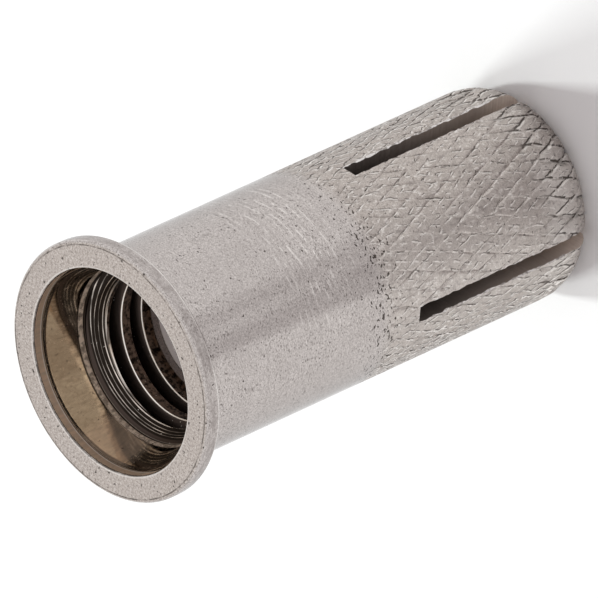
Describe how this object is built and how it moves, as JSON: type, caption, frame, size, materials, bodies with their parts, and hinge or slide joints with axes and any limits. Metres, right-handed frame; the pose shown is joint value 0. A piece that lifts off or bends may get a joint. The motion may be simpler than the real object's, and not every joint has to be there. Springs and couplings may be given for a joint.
{
  "type": "concrete anchor",
  "caption": "Internally threaded drop-in concrete anchor: collared turned sleeve with a knurled, slotted expansion end and an expander plug held inside.",
  "frame": {"origin": "on the axis, in the plane of the end face of the slotted expansion end", "axes": "+Z along the axis towards the threaded mouth, X and Y through the slots"},
  "size_m": [0.0144, 0.0144, 0.03],
  "materials": {
    "plated_sleeve": "satin nickel plating",
    "plug_steel": "turned steel"
  },
  "bodies": {
    "root": {"anchor_sleeve": "plated_sleeve", "expander_plug": "plug_steel"}
  },
  "joints": []
}
